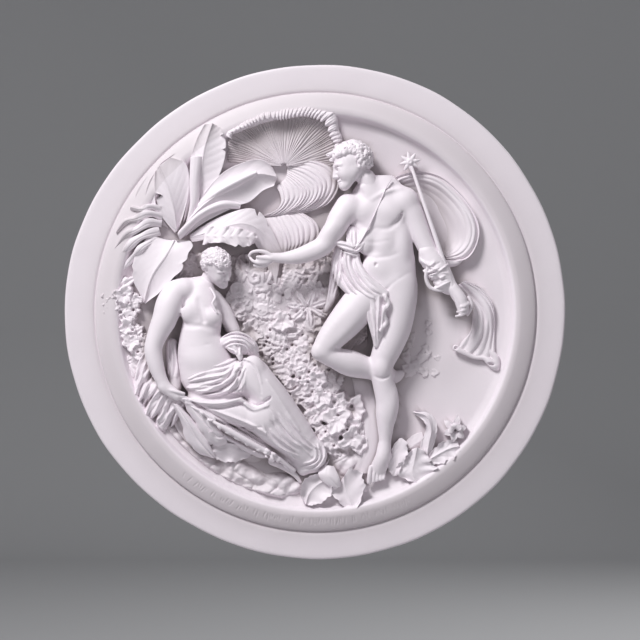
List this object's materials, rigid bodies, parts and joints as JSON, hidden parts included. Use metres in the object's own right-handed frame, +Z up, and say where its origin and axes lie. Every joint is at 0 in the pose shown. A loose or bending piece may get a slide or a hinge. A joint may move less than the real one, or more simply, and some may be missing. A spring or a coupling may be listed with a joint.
{
  "type": "marble relief roundel",
  "caption": "Round marble wall relief: a flat border and raised ring round a sunk field with a seated and a standing figure, large leaves and flowers.",
  "frame": {"origin": "centre of the flat back, in the plane that lies against the wall", "axes": "+Z up the picture, +X to the viewer's right, +Y into the wall; the carving faces -Y"},
  "size_m": [0.7044, 0.0928, 0.6955],
  "materials": {
    "marble": null
  },
  "bodies": {
    "root": {"roundel": "marble"}
  },
  "joints": []
}
